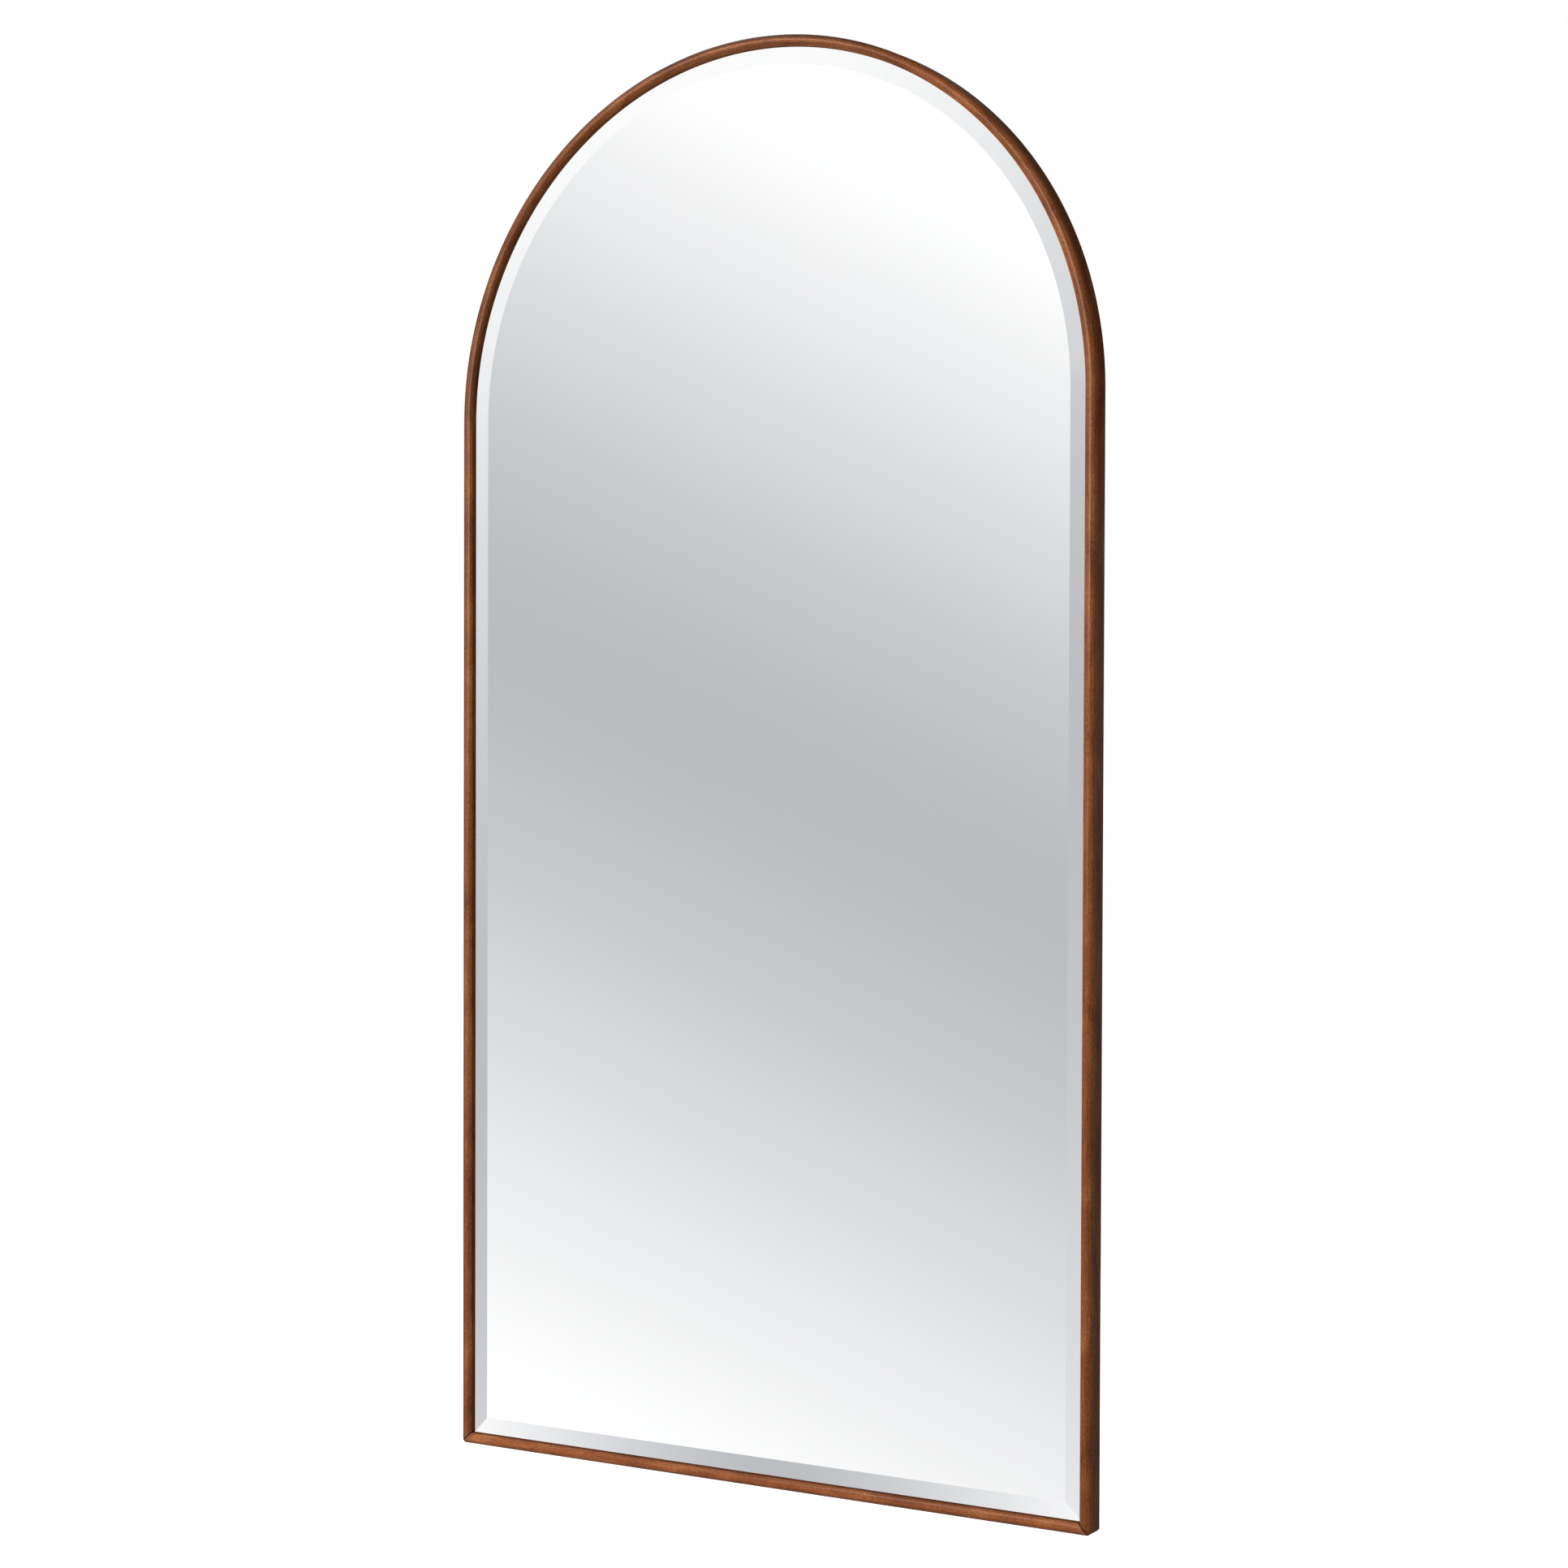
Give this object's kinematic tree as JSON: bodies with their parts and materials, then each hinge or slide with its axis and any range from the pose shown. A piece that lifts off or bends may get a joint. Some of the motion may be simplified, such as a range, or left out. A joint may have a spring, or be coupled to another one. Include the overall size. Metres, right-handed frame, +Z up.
{
  "type": "arched mirror",
  "caption": "Tall wall mirror with a half-round top: bevelled silvered glass in a slim crowned hardwood frame, hung on D-rings behind.",
  "frame": {"origin": "wall plane (back face of the frame), at the foot of the bottom rail's middle", "axes": "+Z up, +Y back into the wall, +X to the right seen from the front, so the mirror faces -Y"},
  "size_m": [0.914, 0.03, 1.806],
  "materials": {
    "walnut": "satin lacquer over reddish-brown hardwood",
    "beech": "raw",
    "silvered_glass": "polished, with a ground and polished bevel",
    "block_rubber": "matte",
    "tape_foam": "matte foam",
    "fibreboard": "raw fibreboard",
    "bright_steel": "bare",
    "zinc_steel": "zinc plated"
  },
  "bodies": {
    "mirror": {"arch": "walnut", "stile_left": "walnut", "stile_right": "walnut", "bottom_rail": "walnut", "arch_tenon_left": "beech", "arch_tenon_right": "beech", "mirror_glass": "silvered_glass", "setting_block_left": "block_rubber", "setting_block_right": "block_rubber", "foam_tape_1": "tape_foam", "foam_tape_2": "tape_foam", "foam_tape_3": "tape_foam", "foam_tape_4": "tape_foam", "foam_tape_5": "tape_foam", "backing_board": "fibreboard", "mitre_nails": "bright_steel", "retaining_points": "bright_steel", "hanger_plate_left": "zinc_steel", "hanger_plate_right": "zinc_steel", "hanger_screws": "zinc_steel"},
    "ring_left": {"hanger_ring_left": "zinc_steel"},
    "ring_right": {"hanger_ring_right": "zinc_steel"}
  },
  "joints": [
    {"name": "ring_left_swing", "type": "hinge", "parent": "mirror", "child": "ring_left", "pos_m": [-0.3, -0.00404, 1.249], "axis": [1, 0, 0], "range_deg": [0, 180]},
    {"name": "ring_right_swing", "type": "hinge", "parent": "mirror", "child": "ring_right", "pos_m": [0.3, -0.00404, 1.249], "axis": [1, 0, 0], "range_deg": [0, 180]}
  ]
}
